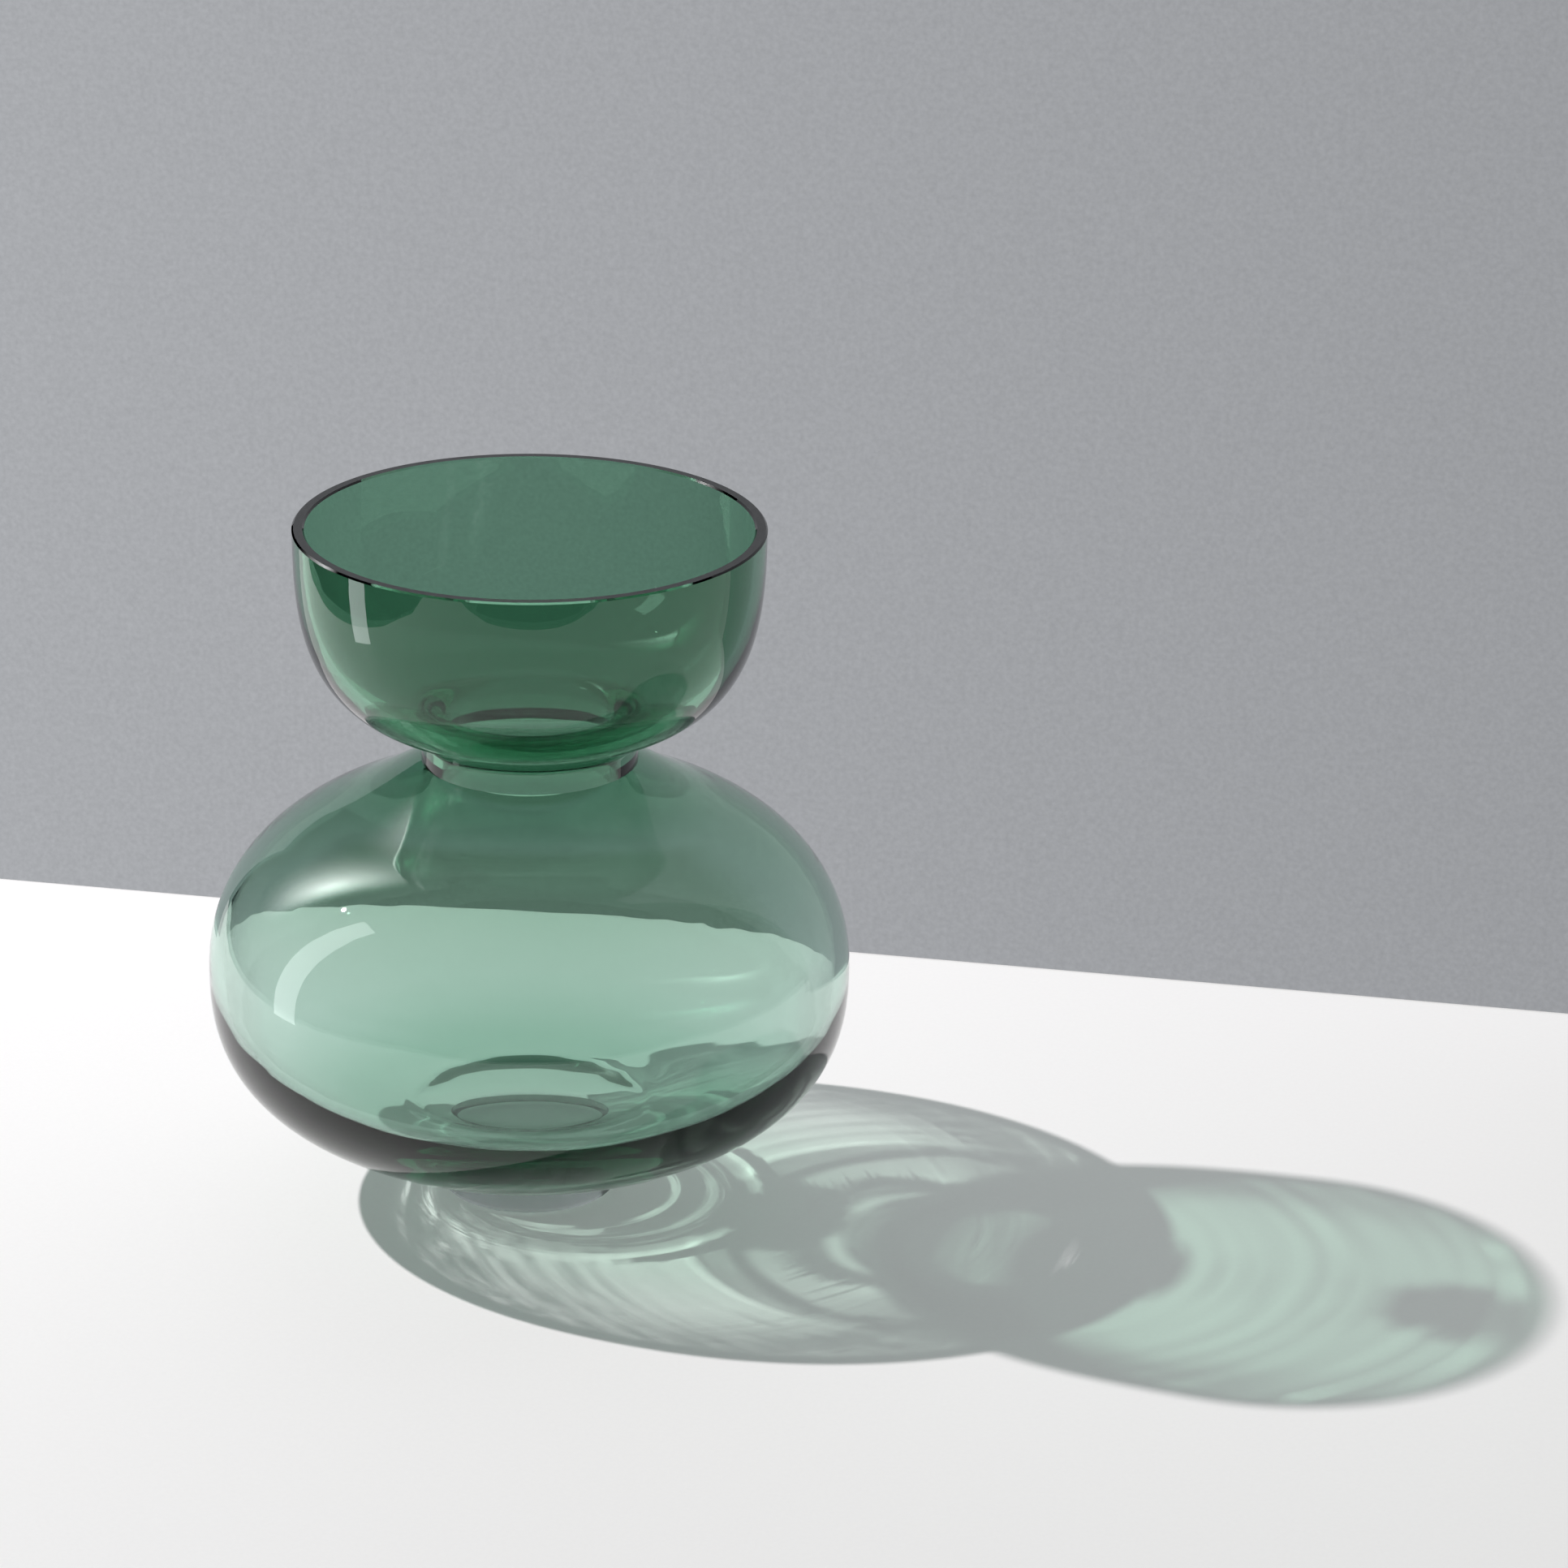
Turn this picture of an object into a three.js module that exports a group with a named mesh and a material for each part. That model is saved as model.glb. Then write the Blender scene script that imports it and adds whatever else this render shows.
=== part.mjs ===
// Green glass vase: a blown vessel of body, neck and bowl in one skin of glass, on a clear solid foot.
// Millimetres, +Z up, origin on the surface that the vase stands on, Z along the axis of the vase.
import * as THREE from 'three';

// Clear solid foot.
const footHeight = 15;
const footRadius = 29.6;
const footToeRadius = 2.4;
const footTopRadius = 28.6;

// Outside of the round body, from its widest level down to the foot and up to the neck.
const bodyRadius = 107.2;
const bodyReachDown = 67.6;
const bodyReachUp = 65.3;
const neckBaseAboveBody = 72.3;
const shoulderRadius = 68;
const shoulderSlope = 0.45;
const shoulderBend = 16;

// Outside of the neck and of the bowl above it.
const neckRadius = 36;
const neckLength = 5.9;
const bowlHeight = 74.7;
const bowlUnderRise = 3.6;
const bowlUnderRadius = 42;
const bowlUnderSlope = 0.22;
const rimRadius = 77.9;
const widestAboveRim = 9.8;
const rimBevel = 0.6;

// How full each oval is: powers of 2 and 2 make an ellipse, higher ones a squarer curve.
const lowerFullness = { along: 2.71, across: 2.06 };
const upperFullness = { along: 2.08, across: 2.54 };
const bowlFullness = { along: 3.5, across: 3.26 };

// Walls of the vessel.
const rimWall = 4.1;
const bowlUnderWall = 5.2;
const neckWall = 7.4;
const shoulderWall = 4.4;
const bodyWall = 4.8;
const baseWall = 13;
const throatEasing = 2.6;
const innerShoulderBend = 34;

// The inner floor: a dip in its middle with a low lip round it, out to where the plain oval takes over.
const dipDepth = 8;
const dipRadius = 40;
const dipFullness = 4;
const lipHeight = 0.8;
const lipRadius = 41;
const lipWidth = 2.6;
const floorReach = 56;

// Fineness of the faceted solids.
const turns = 60;
const curveSteps = 6;
const floorSteps = 20;
const bendSteps = 5;
const toeSteps = 4;

// Half width of an oval at a distance from its widest level.
function ovalRadius(oval, offset) {
  const share = Math.min(Math.abs(offset) / oval.reach, 1);
  return oval.radius * (1 - share ** oval.fullness.along) ** (1 / oval.fullness.across);
}

// Distance from its widest level at which an oval has a given half width.
function ovalOffset(oval, radius) {
  const share = radius / oval.radius;
  return oval.reach * (1 - share ** oval.fullness.across) ** (1 / oval.fullness.along);
}

// Points on an oval between two distances from its widest level, closer together where it turns in.
function ovalCurve(oval, fromOffset, toOffset, steps) {
  const startAngle = Math.asin(fromOffset / oval.reach);
  const endAngle = Math.asin(toOffset / oval.reach);
  const points = [];
  for (let i = 0; i <= steps; i += 1) {
    const offset = oval.reach * Math.sin(startAngle + ((endAngle - startAngle) * i) / steps);
    points.push(new THREE.Vector2(ovalRadius(oval, offset), oval.centre + offset));
  }
  return points;
}

// Points on a curve that bends once, from one end to the other.
function bend(start, corner, end) {
  return new THREE.QuadraticBezierCurve(start, corner, end).getPoints(bendSteps);
}

// One skin of the vessel, from the lowest point asked for up to just under the rim.
function vesselSkin(skin) {
  const { lower, upper, bowl } = skin;
  const bottom = ovalCurve(lower, -ovalOffset(lower, skin.bottomRadius), 0, skin.bottomSteps);
  const shoulderRise = ovalOffset(upper, shoulderRadius);
  const top = ovalCurve(upper, 0, shoulderRise, Math.round(1.5 * curveSteps));

  const shoulder = bend(
    new THREE.Vector2(shoulderRadius, upper.centre + shoulderRise),
    new THREE.Vector2(
      shoulderRadius - skin.shoulderBend,
      upper.centre + shoulderRise + shoulderSlope * skin.shoulderBend,
    ),
    new THREE.Vector2(skin.neckRadius, skin.neckBase),
  );

  const underOffset = ovalOffset(bowl, bowlUnderRadius);
  const underHeight = bowl.centre - underOffset;
  const flare = bend(
    new THREE.Vector2(skin.neckRadius, skin.neckTop),
    new THREE.Vector2(skin.neckRadius, underHeight - bowlUnderSlope * (bowlUnderRadius - skin.neckRadius)),
    new THREE.Vector2(bowlUnderRadius, underHeight),
  );
  const side = ovalCurve(bowl, -underOffset, -widestAboveRim - rimBevel, 2 * curveSteps);

  return [...bottom, ...top.slice(1), ...shoulder.slice(1), ...flare, ...side.slice(1)];
}

// Heights that both skins share, stacked up from the foot.
const seatOffset = ovalOffset(
  { radius: bodyRadius, reach: bodyReachDown, fullness: lowerFullness },
  footTopRadius,
);
const bodyCentre = footHeight + seatOffset;
const neckBase = bodyCentre + neckBaseAboveBody;
const neckTop = neckBase + neckLength;
const rimHeight = neckTop + bowlHeight;
const bowlReach = bowlHeight - bowlUnderRise + widestAboveRim;

// The skins as ovals, with the inside a wall away from the outside at each place.
const outside = {
  bottomRadius: footTopRadius,
  bottomSteps: 2 * curveSteps,
  lower: { centre: bodyCentre, radius: bodyRadius, reach: bodyReachDown, fullness: lowerFullness },
  upper: { centre: bodyCentre, radius: bodyRadius, reach: bodyReachUp, fullness: upperFullness },
  shoulderBend,
  neckRadius,
  neckBase,
  neckTop,
  bowl: { centre: rimHeight + widestAboveRim, radius: rimRadius, reach: bowlReach, fullness: bowlFullness },
};
const inside = {
  bottomRadius: floorReach,
  bottomSteps: curveSteps,
  lower: { ...outside.lower, radius: bodyRadius - bodyWall, reach: bodyReachDown - baseWall },
  upper: { ...outside.upper, radius: bodyRadius - bodyWall, reach: bodyReachUp - shoulderWall },
  shoulderBend: innerShoulderBend,
  neckRadius: neckRadius - neckWall,
  neckBase: neckBase - throatEasing,
  neckTop: neckTop + throatEasing,
  bowl: { ...outside.bowl, radius: rimRadius - rimWall, reach: bowlReach - bowlUnderWall },
};

// How far the inner floor lies above its plain oval, below zero in the dip.
function floorRise(radius) {
  const dip = dipDepth * Math.exp(-((radius / dipRadius) ** dipFullness));
  const lip = lipHeight * Math.exp(-(((radius - lipRadius) / lipWidth) ** 2));
  return lip - dip;
}

// The inside of the vessel, from the middle of its floor up to just under the rim.
function innerSkin() {
  const floor = [];
  for (let i = 0; i < floorSteps; i += 1) {
    const radius = (floorReach * i) / floorSteps;
    floor.push(new THREE.Vector2(radius, bodyCentre - ovalOffset(inside.lower, radius)));
  }
  return [...floor, ...vesselSkin(inside)].map((point) => {
    const rise = point.y < bodyCentre ? floorRise(point.x) : 0;
    return new THREE.Vector2(point.x, point.y + rise);
  });
}

// The vessel: flat seat on the foot, up the outside, over the bevelled rim and down the inside.
function vesselGeometry() {
  const outer = vesselSkin(outside);
  const inner = innerSkin().reverse();
  const outerEdge = outer[outer.length - 1].x;
  const innerEdge = inner[0].x;
  return new THREE.LatheGeometry(
    [
      new THREE.Vector2(0, footHeight),
      ...outer,
      new THREE.Vector2(outerEdge - rimBevel, rimHeight),
      new THREE.Vector2(innerEdge + rimBevel, rimHeight),
      ...inner,
    ],
    turns,
  );
}

// The foot: a solid disc with a rounded toe, drawn in a little towards the body.
function footGeometry() {
  const toe = new THREE.EllipseCurve(
    footRadius - footToeRadius, footToeRadius, footToeRadius, footToeRadius, -Math.PI / 2, 0, false,
  ).getPoints(toeSteps);
  return new THREE.LatheGeometry(
    [
      new THREE.Vector2(0, 0),
      ...toe,
      new THREE.Vector2(footTopRadius, footHeight),
      new THREE.Vector2(0, footHeight),
    ],
    turns,
  );
}

// A lathe turns its outline round Y, so each piece is stood up along Z.
function standingPiece(name, geometry, material) {
  geometry.rotateX(Math.PI / 2);
  const piece = new THREE.Mesh(geometry, material);
  piece.name = name;
  return piece;
}

const greenGlass = new THREE.MeshStandardMaterial({
  color: 0x6f9c80,
  roughness: 0.03,
  metalness: 0,
  transparent: true,
  opacity: 0.45,
});
const clearGlass = new THREE.MeshStandardMaterial({
  color: 0xdfe6e4,
  roughness: 0.03,
  metalness: 0,
  transparent: true,
  opacity: 0.35,
});

const vase = new THREE.Group();
vase.add(standingPiece('vessel', vesselGeometry(), greenGlass));
vase.add(standingPiece('foot', footGeometry(), clearGlass));

export default vase;
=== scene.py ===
import math

import bpy
from mathutils import Matrix, Vector


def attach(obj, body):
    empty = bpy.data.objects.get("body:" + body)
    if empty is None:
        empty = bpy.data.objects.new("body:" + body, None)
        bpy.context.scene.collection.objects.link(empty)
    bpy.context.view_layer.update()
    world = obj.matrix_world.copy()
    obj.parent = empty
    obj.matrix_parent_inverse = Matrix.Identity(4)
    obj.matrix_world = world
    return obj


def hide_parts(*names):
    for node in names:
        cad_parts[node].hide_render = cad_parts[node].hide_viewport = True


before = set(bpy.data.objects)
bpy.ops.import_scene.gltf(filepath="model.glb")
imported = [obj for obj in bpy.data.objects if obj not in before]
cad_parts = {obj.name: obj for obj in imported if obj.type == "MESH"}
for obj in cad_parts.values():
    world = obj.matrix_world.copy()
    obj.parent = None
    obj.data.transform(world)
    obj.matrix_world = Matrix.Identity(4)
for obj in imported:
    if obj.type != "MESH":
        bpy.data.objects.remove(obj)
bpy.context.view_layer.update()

# A blown green glass vase on its clear foot, on a white table before a grey wall.
scene = bpy.context.scene
print("frame loaded:", ", ".join(sorted(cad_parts)))

# The camera looks down at the vase from the front, turned so that the vase stands left of the middle.
camera = {
    "place": Vector((0.0, -2.0192, 0.9037)),
    "pitchDown": math.radians(20.63),
    "turnRight": math.radians(2.241),
    "lens": 149.07,
    "sensor": 36.0,
    "nearest": 0.05,
    "farthest": 50.0,
}


def makeCamera(name):
    data = bpy.data.cameras.new(name)
    data.lens = camera["lens"]
    data.sensor_width = camera["sensor"]
    data.clip_start = camera["nearest"]
    data.clip_end = camera["farthest"]
    made = bpy.data.objects.new(name, data)
    down = Matrix.Rotation(math.pi / 2 - camera["pitchDown"], 4, "X")
    right = Matrix.Rotation(-camera["turnRight"], 4, "Y")
    made.matrix_world = Matrix.Translation(camera["place"]) @ down @ right
    scene.collection.objects.link(made)
    scene.camera = made
    return made


makeCamera("camera")
print("camera set")

# Outline of the vessel, in metres, with Z up from the table and radii from the axis.
vessel = {
    "seatHeight": 0.015,
    "seatRadius": 0.0286,
    "bodyRadius": 0.1072,
    "bodyReachDown": 0.0676,
    "bodyReachUp": 0.0653,
    "neckBaseAboveBody": 0.0723,
    "shoulderRadius": 0.068,
    "neckRadius": 0.036,
    "neckLength": 0.0059,
    "bowlHeight": 0.0747,
    "bowlUnderRise": 0.0036,
    "bowlUnderRadius": 0.042,
    "rimRadius": 0.0779,
    "widestAboveRim": 0.0098,
    "rimBevel": 0.0006,
    "lowerFullness": (2.71, 2.06),  # powers of an oval, along and across the axis
    "upperFullness": (2.08, 2.54),
    "bowlFullness": (3.5, 3.26),
    "rimWall": 0.0041,
    "bowlUnderWall": 0.0052,
    "neckWall": 0.0074,
    "shoulderWall": 0.0044,
    "bodyWall": 0.0048,
    "baseWall": 0.013,
    "throatEasing": 0.0026,
    "outerPulls": (0.36, 0.36),  # how long a bend keeps to its first and last way
    "innerPulls": (0.66, 0.1),
    "flarePulls": (0.4, 0.4),
    "dipDepth": 0.008,  # dip in the inner floor, and the lip round it
    "dipRadius": 0.040,
    "dipFullness": 4.0,
    "lipHeight": 0.0008,
    "lipRadius": 0.041,
    "lipWidth": 0.0026,
    "floorReach": 0.056,
    "floorSteps": 72,
    "ovalSteps": 44,
    "bendSteps": 18,
    "turns": 240,
    "wander": 0.0004,  # unevenness, as a share of the radius
    "wanderSize": 12.0,
    "ringRate": 0.12,  # how fast it changes from ring to ring
    "seed": 3.0,
}


def makeOval(centre, radius, reach, fullness):
    # Half of a super-ellipse: radius against height, from its widest level.
    along, across = fullness
    return {"centre": centre, "radius": radius, "reach": reach, "along": along, "across": across}


def radiusAt(oval, offset):
    share = min(abs(offset) / oval["reach"], 1.0)
    return oval["radius"] * (1.0 - share ** oval["along"]) ** (1.0 / oval["across"])


def offsetAt(oval, radius):
    share = radius / oval["radius"]
    return oval["reach"] * (1.0 - share ** oval["across"]) ** (1.0 / oval["along"])


def ovalCurve(oval, start, end, steps):
    # The steps shorten towards the oval's end, where it turns fastest.
    first, last = math.asin(start / oval["reach"]), math.asin(end / oval["reach"])
    offsets = [oval["reach"] * math.sin(first + (last - first) * i / steps) for i in range(steps + 1)]
    return [Vector((radiusAt(oval, offset), oval["centre"] + offset)) for offset in offsets]


wayNudge = 1e-4  # share of an oval's reach over which its direction is taken


def ovalWay(oval, offset):
    nudge = oval["reach"] * wayNudge
    ahead = Vector((radiusAt(oval, offset + nudge), offset + nudge))
    behind = Vector((radiusAt(oval, offset - nudge), offset - nudge))
    return (ahead - behind).normalized()


def easedBend(start, startWay, end, endWay, pulls, steps):
    # A cubic from start to end that leaves and arrives along the two ways given.
    reach = (end - start).length
    leaving = start + startWay * reach * pulls[0]
    arriving = end - endWay * reach * pulls[1]
    points = []
    for i in range(steps + 1):
        t = i / steps
        u = 1.0 - t
        points.append(start * u ** 3 + leaving * 3 * u * u * t + arriving * 3 * u * t * t + end * t ** 3)
    return points


def vesselSkin(sizes, skin):
    # One skin of the wall, from the bottom of the body to just under the rim.
    lower, upper, bowl = skin["lower"], skin["upper"], skin["bowl"]
    neckRadius, bendSteps = skin["neckRadius"], sizes["bendSteps"]
    bottom = ovalCurve(lower, -offsetAt(lower, skin["bottomRadius"]), 0.0, sizes["ovalSteps"])
    shoulderOffset = offsetAt(upper, sizes["shoulderRadius"])
    top = ovalCurve(upper, 0.0, shoulderOffset, sizes["ovalSteps"])
    neckFoot = Vector((neckRadius, skin["neckBase"]))
    neckWay = (neckFoot - top[-1]).normalized() if skin["creased"] else Vector((0.0, 1.0))
    shoulderWay = ovalWay(upper, shoulderOffset)
    shoulder = easedBend(top[-1], shoulderWay, neckFoot, neckWay, skin["pulls"], bendSteps)
    underOffset = offsetAt(bowl, sizes["bowlUnderRadius"])
    underPoint = Vector((sizes["bowlUnderRadius"], bowl["centre"] - underOffset))
    neckHead = Vector((neckRadius, skin["neckTop"]))
    underWay = ovalWay(bowl, -underOffset)
    flare = easedBend(neckHead, Vector((0.0, 1.0)), underPoint, underWay, sizes["flarePulls"], bendSteps)
    side = ovalCurve(bowl, -underOffset, -sizes["widestAboveRim"] - sizes["rimBevel"], sizes["ovalSteps"])
    return bottom + top[1:] + shoulder[1:] + flare + side[1:]


def floorRise(sizes, radius):
    # The inner floor dips in its middle, with a low lip round the dip.
    dip = sizes["dipDepth"] * math.exp(-(radius / sizes["dipRadius"]) ** sizes["dipFullness"])
    lip = sizes["lipHeight"] * math.exp(-((radius - sizes["lipRadius"]) / sizes["lipWidth"]) ** 2)
    return lip - dip


def vesselOutline(sizes):
    body, wall = sizes["bodyRadius"], sizes["bodyWall"]
    # The body stands so high that its lower oval meets the foot.
    seat = makeOval(0.0, body, sizes["bodyReachDown"], sizes["lowerFullness"])
    bodyCentre = sizes["seatHeight"] + offsetAt(seat, sizes["seatRadius"])
    neckBase = bodyCentre + sizes["neckBaseAboveBody"]
    neckTop = neckBase + sizes["neckLength"]
    rimHeight = neckTop + sizes["bowlHeight"]
    bowlReach = sizes["bowlHeight"] - sizes["bowlUnderRise"] + sizes["widestAboveRim"]
    bowlCentre = rimHeight + sizes["widestAboveRim"]
    outer = vesselSkin(sizes, {
        "lower": makeOval(bodyCentre, body, sizes["bodyReachDown"], sizes["lowerFullness"]),
        "upper": makeOval(bodyCentre, body, sizes["bodyReachUp"], sizes["upperFullness"]),
        "bowl": makeOval(bowlCentre, sizes["rimRadius"], bowlReach, sizes["bowlFullness"]),
        "bottomRadius": sizes["seatRadius"],
        "neckRadius": sizes["neckRadius"],
        "neckBase": neckBase,
        "neckTop": neckTop,
        "creased": True,
        "pulls": sizes["outerPulls"],
    })
    innerDown = sizes["bodyReachDown"] - sizes["baseWall"]
    innerUp = sizes["bodyReachUp"] - sizes["shoulderWall"]
    innerRim = sizes["rimRadius"] - sizes["rimWall"]
    innerBowlReach = bowlReach - sizes["bowlUnderWall"]
    innerLower = makeOval(bodyCentre, body - wall, innerDown, sizes["lowerFullness"])
    inner = vesselSkin(sizes, {
        "lower": innerLower,
        "upper": makeOval(bodyCentre, body - wall, innerUp, sizes["upperFullness"]),
        "bowl": makeOval(bowlCentre, innerRim, innerBowlReach, sizes["bowlFullness"]),
        "bottomRadius": sizes["floorReach"],
        "neckRadius": sizes["neckRadius"] - sizes["neckWall"],
        "neckBase": neckBase - sizes["throatEasing"],
        "neckTop": neckTop + sizes["throatEasing"],
        "creased": False,
        "pulls": sizes["innerPulls"],
    })
    floor = []
    for i in range(sizes["floorSteps"]):
        radius = sizes["floorReach"] * i / sizes["floorSteps"]
        floor.append(Vector((radius, bodyCentre - offsetAt(innerLower, radius))))
    inner = floor + inner
    for point in inner:
        if point.y < bodyCentre:
            point.y += floorRise(sizes, point.x)
    inner.reverse()
    rim = [
        Vector((outer[-1].x - sizes["rimBevel"], rimHeight)),
        Vector((inner[0].x + sizes["rimBevel"], rimHeight)),
    ]
    return [Vector((0.0, sizes["seatHeight"]))] + outer + rim + inner


# Outline of the solid clear foot.
foot = {
    "height": 0.015,
    "fusedDepth": 0.0003,
    "radius": 0.0296,
    "topRadius": 0.0286,
    "toeRadius": 0.0024,
    "toeSteps": 10,
    "turns": 240,
    "wander": 0.0,
    "wanderSize": 9.0,
    "ringRate": 0.0,
    "seed": 3.0,
}


def footOutline(sizes):
    # The top reaches a little up into the vessel, as fused glass does.
    toe, centre = sizes["toeRadius"], sizes["radius"] - sizes["toeRadius"]
    angles = [-math.pi / 2 + math.pi / 2 * i / sizes["toeSteps"] for i in range(sizes["toeSteps"] + 1)]
    corner = [Vector((centre + toe * math.cos(a), toe + toe * math.sin(a))) for a in angles]
    seat = Vector((sizes["topRadius"], sizes["height"]))
    fused = sizes["height"] + sizes["fusedDepth"]
    fusedEdge = Vector((seat.x - sizes["fusedDepth"], fused))
    return [Vector((0.0, 0.0))] + corner + [seat, fusedEdge, Vector((0.0, fused))]


# Nodes that several trees share.
def addMaths(tree, operation, first, second=None):
    node = tree.nodes.new("ShaderNodeMath")
    node.operation = operation
    for socket, value in zip(node.inputs, (first, second)):
        if isinstance(value, (int, float)):
            socket.default_value = value
        elif value is not None:
            tree.links.new(value, socket)
    return node.outputs[0]


def addNoise(tree, place, size, detail):
    noise = tree.nodes.new("ShaderNodeTexNoise")
    noise.inputs["Scale"].default_value = size
    noise.inputs["Detail"].default_value = detail
    tree.links.new(place, noise.inputs["Vector"])
    return noise.outputs[0]


def addRamp(tree, value, span, result):
    ramp = tree.nodes.new("ShaderNodeMapRange")
    for end, number in zip(("From Min", "From Max", "To Min", "To Max"), span + result):
        ramp.inputs[end].default_value = number
    tree.links.new(value, ramp.inputs["Value"])
    return ramp.outputs[0]


def addMix(tree, share, first, second, blend="MIX"):
    mix = tree.nodes.new("ShaderNodeMix")
    mix.data_type = "RGBA"
    mix.blend_type = blend
    tree.links.new(share, mix.inputs["Factor"])
    for socket, colour in ((mix.inputs["A"], first), (mix.inputs["B"], second)):
        if isinstance(colour, tuple):
            socket.default_value = colour
        else:
            tree.links.new(colour, socket)
    return mix.outputs["Result"]


def addBump(tree, height, depth):
    bump = tree.nodes.new("ShaderNodeBump")
    bump.inputs["Distance"].default_value = depth
    tree.links.new(height, bump.inputs["Height"])
    return bump.outputs[0]


def newMaterial(name):
    made = bpy.data.materials.new(name)
    made.use_nodes = True
    return made, made.node_tree, made.node_tree.nodes, made.node_tree.links


# The lathe that both pieces are turned on.
lathe = {
    "mergeWithin": 2e-6,
    "sharpAngle": math.radians(32),
}


def addInput(tree, name, kind):
    return tree.interface.new_socket(name, in_out="INPUT", socket_type=kind).identifier


def makeLatheTree():
    # Turns an outline of edges round Z: one row of the grid stands for each point of the outline.
    tree = bpy.data.node_groups.new("turn on a lathe", "GeometryNodeTree")
    inputs = {
        "outline": addInput(tree, "Outline", "NodeSocketGeometry"),
        "turns": addInput(tree, "Turns", "NodeSocketInt"),
        "wander": addInput(tree, "Wander", "NodeSocketFloat"),
        "wanderSize": addInput(tree, "Wander Size", "NodeSocketFloat"),
        "ringRate": addInput(tree, "Ring Rate", "NodeSocketFloat"),
        "seed": addInput(tree, "Seed", "NodeSocketFloat"),
        "material": addInput(tree, "Material", "NodeSocketMaterial"),
    }
    tree.interface.new_socket("Turned", in_out="OUTPUT", socket_type="NodeSocketGeometry")
    link = tree.links.new

    def node(kind, **settings):
        made = tree.nodes.new(kind)
        for key, value in settings.items():
            setattr(made, key, value)
        return made

    def maths(operation, first, second=None):
        return addMaths(tree, operation, first, second)

    given = node("NodeGroupInput")
    count = node("GeometryNodeAttributeDomainSize")
    link(given.outputs["Outline"], count.inputs["Geometry"])
    columns = maths("ADD", given.outputs["Turns"], 1)
    grid = node("GeometryNodeMeshGrid")
    link(count.outputs["Point Count"], grid.inputs["Vertices X"])
    link(columns, grid.inputs["Vertices Y"])

    # Half an index more keeps the row clear of the division's rounding.
    index = node("GeometryNodeInputIndex").outputs[0]
    row = maths("FLOOR", maths("DIVIDE", maths("ADD", index, 0.5), columns))
    column = maths("SUBTRACT", index, maths("MULTIPLY", row, columns))
    angle = maths("DIVIDE", maths("MULTIPLY", column, 2 * math.pi), given.outputs["Turns"])

    sample = node("GeometryNodeSampleIndex", data_type="FLOAT_VECTOR", domain="POINT")
    link(given.outputs["Outline"], sample.inputs["Geometry"])
    link(node("GeometryNodeInputPosition").outputs[0], sample.inputs["Value"])
    link(row, sample.inputs["Index"])
    point = node("ShaderNodeSeparateXYZ")
    link(sample.outputs[0], point.inputs[0])

    def place(radius):
        made = node("ShaderNodeCombineXYZ")
        link(maths("MULTIPLY", radius, maths("COSINE", angle)), made.inputs["X"])
        link(maths("MULTIPLY", radius, maths("SINE", angle)), made.inputs["Y"])
        link(point.outputs["Z"], made.inputs["Z"])
        return made.outputs[0]

    # Blown glass is never quite even: the radius wanders a little, from ring to ring more than around one.
    noise = node("ShaderNodeTexNoise", noise_dimensions="4D")
    link(place(point.outputs["X"]), noise.inputs["Vector"])
    ring = maths("MULTIPLY", row, given.outputs["Ring Rate"])
    link(maths("ADD", ring, given.outputs["Seed"]), noise.inputs["W"])
    link(given.outputs["Wander Size"], noise.inputs["Scale"])
    noise.inputs["Detail"].default_value = 0.0
    swing = maths("SUBTRACT", noise.outputs[0], 0.5)
    share = maths("MULTIPLY", swing, given.outputs["Wander"])
    uneven = maths("MULTIPLY", point.outputs["X"], maths("ADD", share, 1.0))

    move = node("GeometryNodeSetPosition")
    link(grid.outputs["Mesh"], move.inputs["Geometry"])
    link(place(uneven), move.inputs["Position"])
    merge = node("GeometryNodeMergeByDistance")
    merge.inputs["Distance"].default_value = lathe["mergeWithin"]
    link(move.outputs[0], merge.inputs["Geometry"])
    smooth = node("GeometryNodeSetShadeSmooth")
    link(merge.outputs[0], smooth.inputs["Geometry"])
    real = node("GeometryNodeRealizeInstances")
    link(smooth.outputs[0], real.inputs["Geometry"])
    paint = node("GeometryNodeSetMaterial")
    link(real.outputs[0], paint.inputs["Geometry"])
    link(given.outputs["Material"], paint.inputs["Material"])
    result = node("NodeGroupOutput")
    link(paint.outputs[0], result.inputs[0])
    return tree, inputs


latheTree, latheInputs = makeLatheTree()


def turnPiece(name, outline, sizes, material):
    # The lathe's result becomes a plain mesh with its faces pointing outwards.
    edges = [(i, i + 1) for i in range(len(outline) - 1)]
    sketch = bpy.data.meshes.new(name + "_outline")
    sketch.from_pydata([(p.x, 0.0, p.y) for p in outline], edges, [])
    made = bpy.data.objects.new(name, sketch)
    scene.collection.objects.link(made)
    turning = made.modifiers.new("lathe", "NODES")
    turning.node_group = latheTree
    for setting in ("turns", "wander", "wanderSize", "ringRate", "seed"):
        turning[latheInputs[setting]] = sizes[setting]
    turning[latheInputs["material"]] = material
    finished = made.evaluated_get(bpy.context.evaluated_depsgraph_get())
    turned = bpy.data.meshes.new_from_object(finished)
    made.modifiers.remove(turning)
    made.data = turned
    turned.name = name
    bpy.data.meshes.remove(sketch)
    enclosed = 0.0
    for face in turned.polygons:
        enclosed += face.center.dot(face.normal) * face.area / 3.0
    if enclosed < 0:
        turned.flip_normals()
    turned.set_sharp_from_angle(angle=lathe["sharpAngle"])
    print(f"{name}: {len(turned.polygons)} faces, {abs(enclosed) * 1e6:.0f} cm3")
    return made


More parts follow.
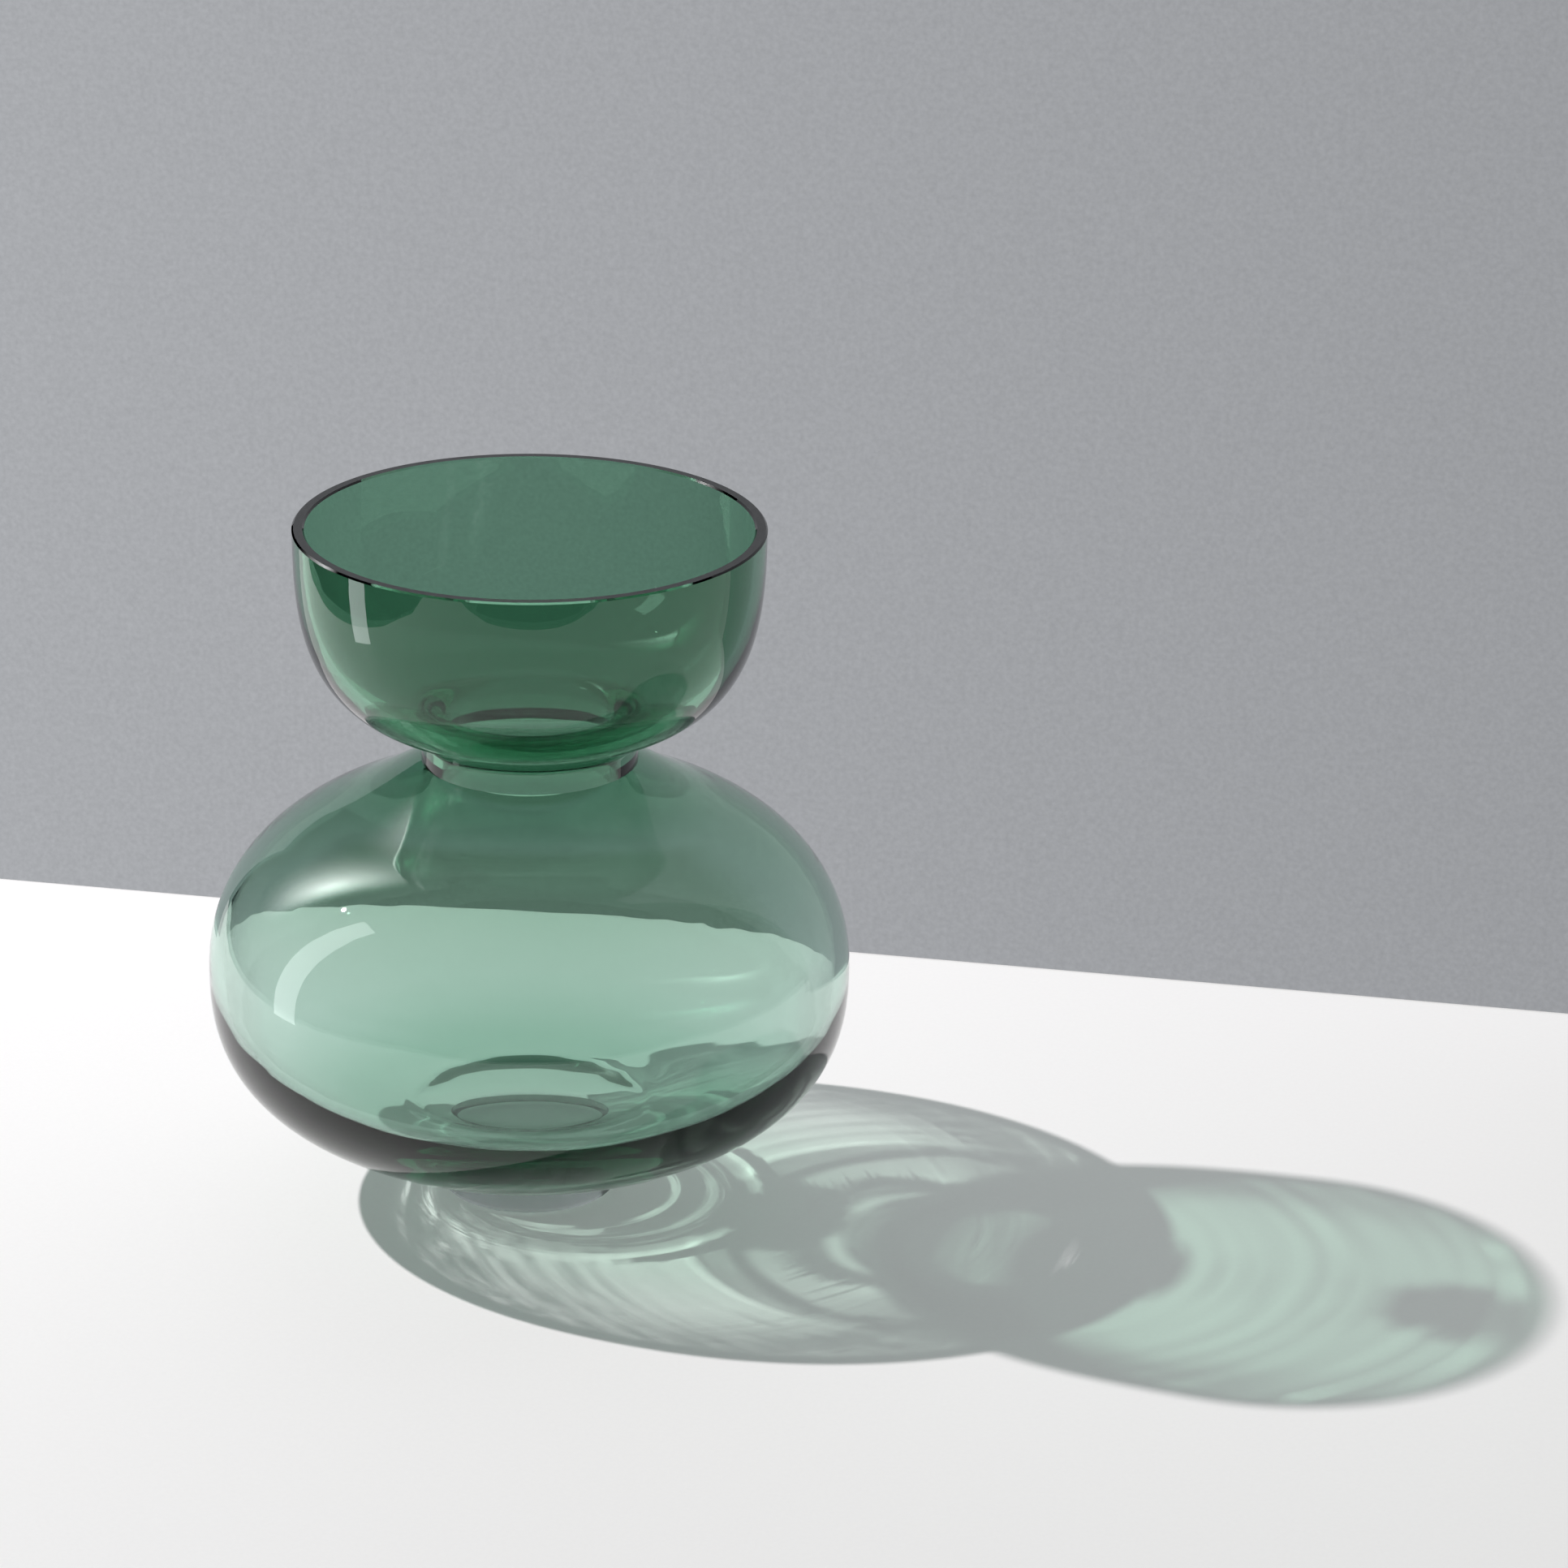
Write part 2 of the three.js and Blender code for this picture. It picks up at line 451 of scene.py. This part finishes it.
# Glass takes up colour along the light's way and at its skin. Blowing leaves faint waves and smears in it.
greenGlass = {
    "tint": (0.97, 0.985, 0.975, 1.0),
    "paleTint": (0.99, 0.995, 0.99, 1.0),
    "tintSize": 18.0,
    "deepTint": (0.31, 0.55, 0.41, 1.0),
    "deepFrom": 0.092,
    "deepTo": 0.155,
    "baseTint": (0.60, 0.75, 0.67, 1.0),
    "baseFrom": 0.038,
    "baseTo": 0.022,
    "absorbColour": (0.28, 0.64, 0.50, 1.0),
    "absorbDensity": 60.0,
    "ior": 1.5,
    "smearSize": 26.0,
    "smearFrom": 0.55,
    "smearRoughness": 0.02,
    "waveSize": 34.0,
    "waveDepth": 0.00006,
    "wornHeight": 0.0008,
    "wornRoughness": 0.0,
}
clearGlass = {
    "tint": (1.0, 1.0, 1.0, 1.0),
    "paleTint": (0.985, 0.995, 0.99, 1.0),
    "tintSize": 60.0,
    "deepTint": (1.0, 1.0, 1.0, 1.0),
    "deepFrom": 0.085,
    "deepTo": 0.160,
    "baseTint": (1.0, 1.0, 1.0, 1.0),
    "baseFrom": 0.012,
    "baseTo": 0.004,
    "absorbColour": (0.55, 0.75, 0.7, 1.0),
    "absorbDensity": 6.0,
    "ior": 1.5,
    "smearSize": 60.0,
    "smearFrom": 0.55,
    "smearRoughness": 0.03,
    "waveSize": 70.0,
    "waveDepth": 0.00004,
    "wornHeight": 0.0008,
    "wornRoughness": 0.25,
}
noiseSpan = (0.35, 0.65)  # the part of a noise's range that holds most of it
noiseDetail = {"mottle": 2.0, "smudges": 4.0, "waves": 1.0, "grain": 3.0}


def makeGlass(name, look):
    made, tree, nodes, links = newMaterial(name)
    shader = nodes["Principled BSDF"]
    shader.inputs["IOR"].default_value = look["ior"]
    shader.inputs["Transmission Weight"].default_value = 1.0
    place = nodes.new("ShaderNodeTexCoord").outputs["Object"]
    axes = nodes.new("ShaderNodeSeparateXYZ")
    links.new(place, axes.inputs[0])
    height = axes.outputs["Z"]

    # The colour deepens upwards, from the body into the bowl, and downwards into the thick base.
    mottle = addNoise(tree, place, look["tintSize"], noiseDetail["mottle"])
    colour = addMix(tree, addRamp(tree, mottle, noiseSpan, (0.0, 1.0)), look["tint"], look["paleTint"])
    for kind in ("deep", "base"):
        share = addRamp(tree, height, (look[kind + "From"], look[kind + "To"]), (0.0, 1.0))
        colour = addMix(tree, share, colour, look[kind + "Tint"])
    links.new(colour, shader.inputs["Base Color"])

    # The lowest edge is rubbed dull by the table.
    smudges = addNoise(tree, place, look["smearSize"], noiseDetail["smudges"])
    smear = addRamp(tree, smudges, (look["smearFrom"], 1.0), (0.0, look["smearRoughness"]))
    worn = addRamp(tree, height, (0.0, look["wornHeight"]), (look["wornRoughness"], 0.0))
    links.new(addMaths(tree, "ADD", smear, worn), shader.inputs["Roughness"])
    waves = addNoise(tree, place, look["waveSize"], noiseDetail["waves"])
    links.new(addBump(tree, waves, look["waveDepth"]), shader.inputs["Normal"])

    inside = nodes.new("ShaderNodeVolumeAbsorption")
    inside.inputs["Color"].default_value = look["absorbColour"]
    inside.inputs["Density"].default_value = look["absorbDensity"]
    links.new(inside.outputs[0], nodes["Material Output"].inputs["Volume"])
    return made


vesselMaterial = makeGlass("green glass", greenGlass)
footMaterial = makeGlass("clear glass", clearGlass)

vesselPiece = turnPiece("greenVessel", vesselOutline(vessel), vessel, vesselMaterial)
footPiece = turnPiece("clearFoot", footOutline(foot), foot, footMaterial)
for piece, node, slot in ((vesselPiece, "vessel", "green_glass"), (footPiece, "foot", "clear_glass")):
    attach(piece, "root")
    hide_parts(node)

# Painted light: the wall's glow falls off to the right, and the table's colour is painted lighter there to
# even out the lamps.
paintedFalloffSpan = (-0.2, 0.4)


def makePlane(name, corners, material):
    mesh = bpy.data.meshes.new(name)
    mesh.from_pydata([tuple(c) for c in corners], [], [(0, 1, 2, 3)])
    mesh.materials.append(material)
    made = bpy.data.objects.new(name, mesh)
    scene.collection.objects.link(made)
    return made


# White table, a hair below the foot.
tableTop = {
    "height": -0.0003,
    "left": -0.55,
    "right": 0.80,
    "front": -0.62,
    "back": 0.70,
    "colour": (0.91, 0.91, 0.915, 1.0),
    "paintedLightRightColour": (0.94, 0.92, 0.925, 1.0),
    "specular": 0.2,
    "roughness": (0.55, 0.7),
    "grain": 700.0,
    "grainSpan": (0.3, 0.7),
    "grainShare": 0.03,
    "grainColour": (0.5, 0.5, 0.5, 1.0),
    "bump": 0.00002,
}


def makeTableMaterial():
    made, tree, nodes, links = newMaterial("white table")
    shader = nodes["Principled BSDF"]
    shader.inputs["Specular IOR Level"].default_value = tableTop["specular"]
    place = nodes.new("ShaderNodeTexCoord").outputs["Object"]
    axes = nodes.new("ShaderNodeSeparateXYZ")
    links.new(place, axes.inputs[0])
    # Painted light: the table is painted lighter and pinker to the right, against the key lamp's fall-off
    # and the green stray lamp.
    across = addRamp(tree, axes.outputs["X"], paintedFalloffSpan, (0.0, 1.0))
    paintedLightTone = addMix(tree, across, tableTop["colour"], tableTop["paintedLightRightColour"])
    grain = addNoise(tree, place, tableTop["grain"], noiseDetail["grain"])
    speck = addRamp(tree, grain, tableTop["grainSpan"], (0.0, tableTop["grainShare"]))
    colour = addMix(tree, speck, paintedLightTone, tableTop["grainColour"], "MULTIPLY")
    links.new(colour, shader.inputs["Base Color"])
    roughness = addRamp(tree, grain, tableTop["grainSpan"], tableTop["roughness"])
    links.new(roughness, shader.inputs["Roughness"])
    links.new(addBump(tree, grain, tableTop["bump"]), shader.inputs["Normal"])
    return made


tableCorners = [
    (tableTop["left"], tableTop["front"], tableTop["height"]),
    (tableTop["right"], tableTop["front"], tableTop["height"]),
    (tableTop["right"], tableTop["back"], tableTop["height"]),
    (tableTop["left"], tableTop["back"], tableTop["height"]),
]
table = makePlane("table", tableCorners, makeTableMaterial())

# Grey wall that stands on the table behind the vase, at a slant.
backWall = {
    "left": Vector((-0.2015, 0.2796, 0.0)),
    "right": Vector((0.3748, 0.1451, 0.0)),
    "leftReach": 0.06,
    "rightReach": 0.08,
    "height": 1.2,
    "colour": (0.375, 0.385, 0.405, 1.0),
    "paintedFalloff": (1.07, 0.86),
    "grain": 560.0,
    "grainShare": 0.14,
    "shadeColour": (0.27, 0.30, 0.285, 1.0),
    "shadeAlong": 0.206,
    "shadeHalfWidth": 0.114,
    "shadeHalfHeight": 0.066,
    "shadeEdge": 0.018,
}
along = (backWall["right"] - backWall["left"]).normalized()


def makeWallMaterial():
    # The wall shows only from its front, so that the vase can be looked at from behind too.
    made, tree, nodes, links = newMaterial("grey wall")
    nodes.remove(nodes["Principled BSDF"])
    front = nodes.new("ShaderNodeEmission")
    geometry = nodes.new("ShaderNodeNewGeometry")
    place = nodes.new("ShaderNodeSeparateXYZ")
    links.new(geometry.outputs["Position"], place.inputs[0])

    def maths(operation, first, second=None):
        return addMaths(tree, operation, first, second)

    # Painted shade: behind the body, where only the glass shows it, a soft oval of the wall is painted
    # darker. At the oval's edge one less the squared distance changes twice as fast as the distance, so the
    # edge's width is doubled.
    centre = backWall["left"].x + along.x * backWall["shadeAlong"]
    across = maths("DIVIDE", maths("SUBTRACT", place.outputs["X"], centre), backWall["shadeHalfWidth"])
    high = maths("DIVIDE", place.outputs["Z"], backWall["shadeHalfHeight"])
    inside = maths("SUBTRACT", 1.0, maths("ADD", maths("POWER", across, 2.0), maths("POWER", high, 2.0)))
    shade = nodes.new("ShaderNodeMapRange")
    shade.interpolation_type = "SMOOTHSTEP"
    shade.inputs["From Max"].default_value = 2 * backWall["shadeEdge"] / backWall["shadeHalfHeight"]
    links.new(inside, shade.inputs["Value"])
    colour = addMix(tree, shade.outputs[0], backWall["colour"], backWall["shadeColour"])
    links.new(colour, front.inputs["Color"])

    # Paper grain, and painted light that falls off to the right.
    surface = nodes.new("ShaderNodeTexCoord").outputs["Object"]
    grain = addNoise(tree, surface, backWall["grain"], noiseDetail["grain"])
    swing = maths("MULTIPLY", maths("SUBTRACT", grain, 0.5), backWall["grainShare"] * 2)
    paintedFalloff = addRamp(tree, place.outputs["X"], paintedFalloffSpan, backWall["paintedFalloff"])
    links.new(maths("MULTIPLY", maths("ADD", swing, 1.0), paintedFalloff), front.inputs["Strength"])

    back = nodes.new("ShaderNodeBsdfTransparent")
    sides = nodes.new("ShaderNodeMixShader")
    links.new(geometry.outputs["Backfacing"], sides.inputs[0])
    links.new(front.outputs[0], sides.inputs[1])
    links.new(back.outputs[0], sides.inputs[2])
    links.new(sides.outputs[0], nodes["Material Output"].inputs["Surface"])
    return made


left = backWall["left"] - along * backWall["leftReach"]
right = backWall["right"] + along * backWall["rightReach"]
up = Vector((0, 0, backWall["height"]))
makePlane("wall", [left, right, right + up, left + up], makeWallMaterial())

# One small hard lamp behind the left shoulder of the vase gives the shadow. A tall strip and a bright patch
# at the left show on the glass and don't light the table. The room is dark, for dark edges on the glass.
lamps = {
    "keyPlace": Vector((-1.582, 0.562, 1.737)),
    "keyTarget": Vector((0.0, 0.0, 0.1)),
    "keySize": 0.05,
    "keyPower": 55.0,
    "keyColour": (1.0, 0.96, 0.96),
    "strayPlace": Vector((1.3, -0.5, 1.6)),
    "straySize": 0.5,
    "strayPower": 14.0,
    "strayColour": (0.9, 1.0, 0.95),
    "stripPlace": Vector((-0.47, -0.035, 0.31)),
    "stripWidth": 0.085,
    "stripHeight": 0.62,
    "stripPower": 0.62,
    "stripColour": (0.95, 1.0, 1.0),
    "patchAlong": -0.37,
    "patchHeight": 0.66,
    "patchReach": 0.44,
    "patchGap": 0.01,
    "patchStrength": 11.0,
    "roomColour": (0.025, 0.025, 0.03, 1.0),
}


def makeLamp(name, target, width, height=None):
    data = bpy.data.lights.new(name, "AREA")
    data.shape = "RECTANGLE" if height else "DISK"
    data.size = width
    data.size_y = height or width
    data.energy = lamps[name + "Power"]
    data.color = lamps[name + "Colour"]
    made = bpy.data.objects.new(name, data)
    made.location = lamps[name + "Place"]
    made.rotation_euler = (target - made.location).to_track_quat("-Z", "Y").to_euler()
    made.visible_camera = False
    scene.collection.objects.link(made)
    return made


keyLamp = makeLamp("key", lamps["keyTarget"], lamps["keySize"])
keyLamp.data.cycles.is_caustics_light = True
# Light that the glass scatters into its shadow isn't traced: a weak lamp without a shadow stands for it.
strayLamp = makeLamp("stray", Vector((0, 0, 0)), lamps["straySize"])
strayLamp.data.use_shadow = False
strayLamp.visible_glossy = False
strayLamp.visible_transmission = False
for piece in (vesselPiece, footPiece):
    piece.cycles.is_caustics_caster = True
table.cycles.is_caustics_receiver = True
stripTarget = Vector((0, 0, lamps["stripPlace"].z))
stripLamp = makeLamp("strip", stripTarget, lamps["stripWidth"], lamps["stripHeight"])
stripLamp.visible_diffuse = False
stripLamp.visible_transmission = False


def makePatchMaterial():
    # Brightest in the middle, fading to nothing at the rim of the patch.
    made, tree, nodes, links = newMaterial("lit patch")
    nodes.remove(nodes["Principled BSDF"])
    size = nodes.new("ShaderNodeMapping")
    size.inputs["Scale"].default_value = (1 / lamps["patchReach"],) * 3
    links.new(nodes.new("ShaderNodeTexCoord").outputs["Object"], size.inputs["Vector"])
    fade = nodes.new("ShaderNodeTexGradient")
    fade.gradient_type = "QUADRATIC_SPHERE"
    links.new(size.outputs[0], fade.inputs[0])
    light = nodes.new("ShaderNodeEmission")
    strength = addMaths(tree, "MULTIPLY", fade.outputs["Fac"], lamps["patchStrength"])
    links.new(strength, light.inputs["Strength"])
    links.new(light.outputs[0], nodes["Material Output"].inputs["Surface"])
    return made


side, high = along * lamps["patchReach"], Vector((0, 0, lamps["patchReach"]))
patchCorners = [-side - high, side - high, side + high, high - side]
patch = makePlane("patch", patchCorners, makePatchMaterial())
inFront = Vector((along.y, -along.x, 0)) * lamps["patchGap"]
patchFoot = backWall["left"] + along * lamps["patchAlong"]
patch.location = patchFoot + inFront + Vector((0, 0, lamps["patchHeight"]))
patch.visible_camera = False
patch.visible_diffuse = False
patch.visible_shadow = False

world = bpy.data.worlds.new("studio")
world.use_nodes = True
world.node_tree.nodes["Background"].inputs["Color"].default_value = lamps["roomColour"]
world.node_tree.nodes["Background"].inputs["Strength"].default_value = 1.0
scene.world = world

scene.view_settings.view_transform = "Standard"
# Rays cross many walls of glass before they reach the table.
scene.cycles.max_bounces = 32
scene.cycles.transmission_bounces = 32
scene.cycles.glossy_bounces = 16
scene.cycles.diffuse_bounces = 4
scene.cycles.transparent_max_bounces = 16
print("room and lamps set")
